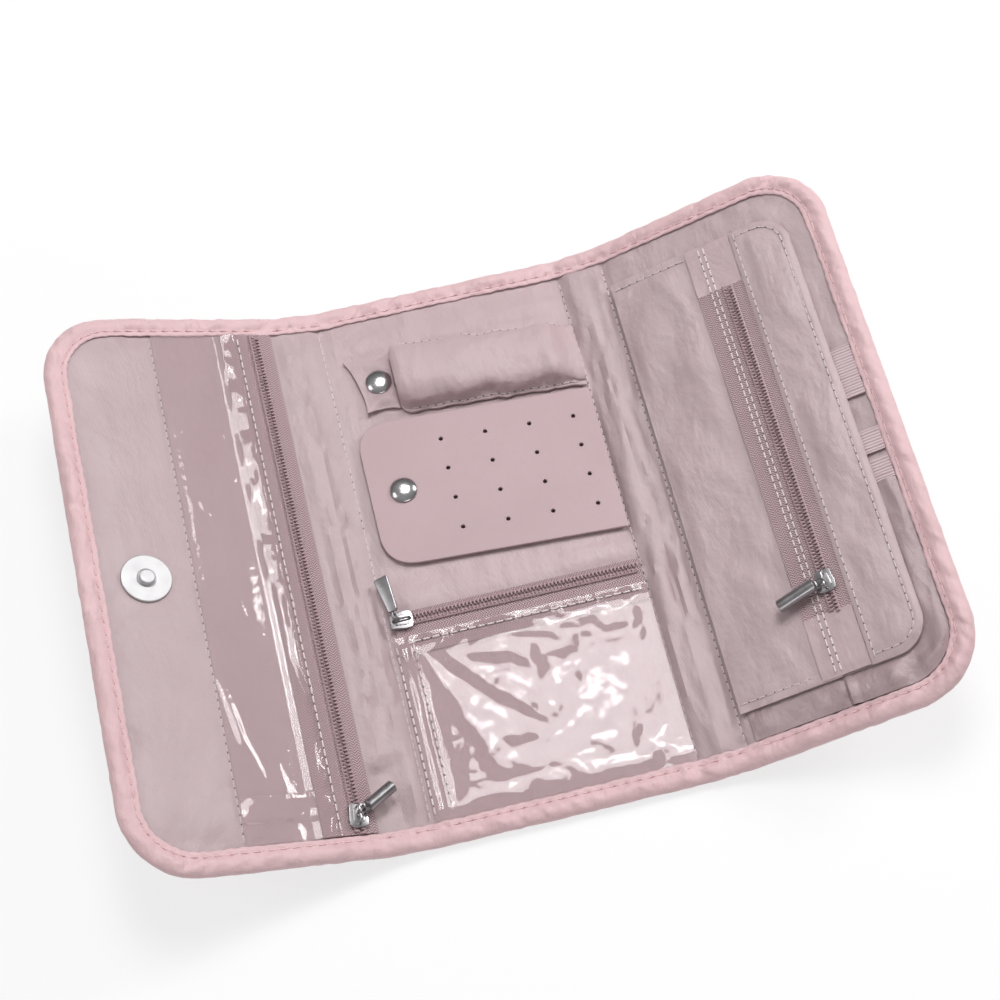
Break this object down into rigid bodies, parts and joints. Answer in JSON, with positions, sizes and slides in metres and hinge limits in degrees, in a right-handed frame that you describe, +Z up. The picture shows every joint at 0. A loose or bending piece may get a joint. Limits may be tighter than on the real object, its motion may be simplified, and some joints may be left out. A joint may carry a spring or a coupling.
{
  "type": "jewelry roll",
  "caption": "Fold-up cloth jewelry roll laid open: padded panels, clear zip pockets, ring roll, earring card and a hinged zip page over necklace keepers.",
  "frame": {"origin": "centre of the opened roll's bounding box in X and Y, on the surface that it lies on", "axes": "+X along the unrolled cloth towards the page flap, +Y along the fold lines towards the ring roll, +Z up out of the lining"},
  "size_m": [0.2898, 0.215, 0.0422],
  "materials": {
    "cover_cloth": "soft coated cloth, fine grain",
    "lining_cloth": "smooth satin-like lining with a soft sheen",
    "binding_tape": "folded grosgrain-like binding tape",
    "padding_foam": "thin sewn-in padding",
    "zip_tape": "woven zip tape",
    "zip_coil": "nylon coil",
    "elastic_band": "ribbed flat elastic",
    "card_leather": "padded leather-look card",
    "polished_metal": "polished silver-coloured metal",
    "clear_vinyl": "clear flexible vinyl sheet with a hard highlight"
  },
  "bodies": {
    "centre_panel": {"centre_cover": "cover_cloth", "centre_foam": "padding_foam", "centre_lining": "lining_cloth", "centre_binding_top": "binding_tape", "centre_binding_bottom": "binding_tape", "small_zip_tape_upper": "zip_tape", "small_zip_tape_lower": "zip_tape", "small_zip_coil_upper": "zip_coil", "small_zip_coil_lower": "zip_coil", "small_pocket_vinyl": "clear_vinyl", "card_snap_stud": "polished_metal", "ring_roll_snap_stud": "polished_metal"},
    "left_band": {"left_band_cover": "cover_cloth", "left_band_lining": "lining_cloth", "left_band_binding_top": "binding_tape", "left_band_binding_bottom": "binding_tape"},
    "left_flap": {"left_flap_cover": "cover_cloth", "left_flap_foam": "padding_foam", "left_flap_lining": "lining_cloth", "left_flap_binding": "binding_tape", "long_zip_tape_outer": "zip_tape", "long_zip_tape_inner": "zip_tape", "long_zip_coil_outer": "zip_coil", "long_zip_coil_inner": "zip_coil", "long_pocket_vinyl": "clear_vinyl", "magnet_post_half": "polished_metal"},
    "long_zip_slider": {"long_zip_slider": "polished_metal"},
    "long_zip_pull": {"long_zip_pull": "polished_metal"},
    "right_band": {"right_band_cover": "cover_cloth", "right_band_lining": "lining_cloth", "right_band_binding_top": "binding_tape", "right_band_binding_bottom": "binding_tape"},
    "right_flap": {"right_flap_cover": "cover_cloth", "right_flap_foam": "padding_foam", "right_flap_lining": "lining_cloth", "right_flap_binding": "binding_tape", "magnet_socket_half": "polished_metal", "necklace_elastic_upper": "elastic_band", "necklace_elastic_lower": "elastic_band", "necklace_pocket_elastic": "elastic_band", "necklace_pocket": "lining_cloth"},
    "page": {"page_back": "lining_cloth", "page_front_wide": "lining_cloth", "page_front_narrow": "lining_cloth", "page_zip_tape_wide": "zip_tape", "page_zip_tape_narrow": "zip_tape", "page_zip_coil_wide": "zip_coil", "page_zip_coil_narrow": "zip_coil", "page_zip_end_top": "lining_cloth", "page_zip_end_bottom": "lining_cloth"},
    "page_zip_slider": {"page_zip_slider": "polished_metal"},
    "page_zip_pull": {"page_zip_pull": "polished_metal"},
    "small_zip_slider": {"small_zip_slider": "polished_metal"},
    "small_zip_pull": {"small_zip_pull": "polished_metal"},
    "ring_roll": {"ring_roll_cushion": "lining_cloth", "ring_roll_tab": "lining_cloth", "ring_roll_snap_cap": "polished_metal"},
    "earring_card": {"earring_card": "card_leather", "card_snap_cap": "polished_metal"}
  },
  "joints": [
    {"name": "left_band_fold", "type": "hinge", "parent": "centre_panel", "child": "left_band", "pos_m": [-0.04533, 0, 0.0098], "axis": [0, 1, 0], "range_deg": [-11.5, 78.5]},
    {"name": "left_flap_fold", "type": "hinge", "parent": "left_band", "child": "left_flap", "pos_m": [-0.06101, 0, 0.01299], "axis": [0, 1, 0], "range_deg": [-11.8, 79.5]},
    {"name": "right_band_fold", "type": "hinge", "parent": "centre_panel", "child": "right_band", "pos_m": [0.04747, 0, 0.00455], "axis": [0, -1, 0], "range_deg": [-11.1, 78.9]},
    {"name": "right_flap_fold", "type": "hinge", "parent": "right_band", "child": "right_flap", "pos_m": [0.06386, 0, 0.00777], "axis": [0, -1, 0], "range_deg": [-11.4, 78.7]},
    {"name": "page_turn", "type": "hinge", "parent": "right_flap", "child": "page", "pos_m": [0.06548, -0.0008, 0.00882], "axis": [0, 1, 0], "range_deg": [-110, 0]},
    {"name": "ring_roll_lift", "type": "hinge", "parent": "centre_panel", "child": "ring_roll", "pos_m": [0.04707, 0.065, 0.00395], "axis": [0, -1, 0], "range_deg": [-60, 0]},
    {"name": "card_lift", "type": "hinge", "parent": "centre_panel", "child": "earring_card", "pos_m": [0.04707, 0.0203, 0.00505], "axis": [0, -1, 0], "range_deg": [-60, 0]},
    {"name": "long_zip_slide", "type": "slide", "parent": "left_flap", "child": "long_zip_slider", "axis": [0, -1, 0], "range_m": [-0.186, 0]},
    {"name": "long_pull_swing", "type": "hinge", "parent": "long_zip_slider", "child": "long_zip_pull", "pos_m": [-0.06824, -0.0932, 0.0153], "axis": [0, 1, 0], "range_deg": [-175, 0]},
    {"name": "page_zip_slide", "type": "slide", "parent": "page", "child": "page_zip_slider", "axis": [0, -1, 0], "range_m": [-0.118, 0]},
    {"name": "page_pull_swing", "type": "hinge", "parent": "page_zip_slider", "child": "page_zip_pull", "pos_m": [0.10212, -0.0554, 0.03088], "axis": [0, -1, 0], "range_deg": [-175, 0]},
    {"name": "small_zip_slide", "type": "slide", "parent": "centre_panel", "child": "small_zip_slider", "axis": [-1, 0, 0], "range_m": [-0.081, 0]},
    {"name": "small_pull_swing", "type": "hinge", "parent": "small_zip_slider", "child": "small_zip_pull", "pos_m": [-0.04183, -0.025, 0.00813], "axis": [-1, 0, 0], "range_deg": [-175, 0]}
  ],
  "couplings": [
    {"joint": "left_flap_fold", "follows": "left_band_fold", "ratio": 1.0115},
    {"joint": "right_flap_fold", "follows": "right_band_fold", "ratio": 0.9962}
  ]
}
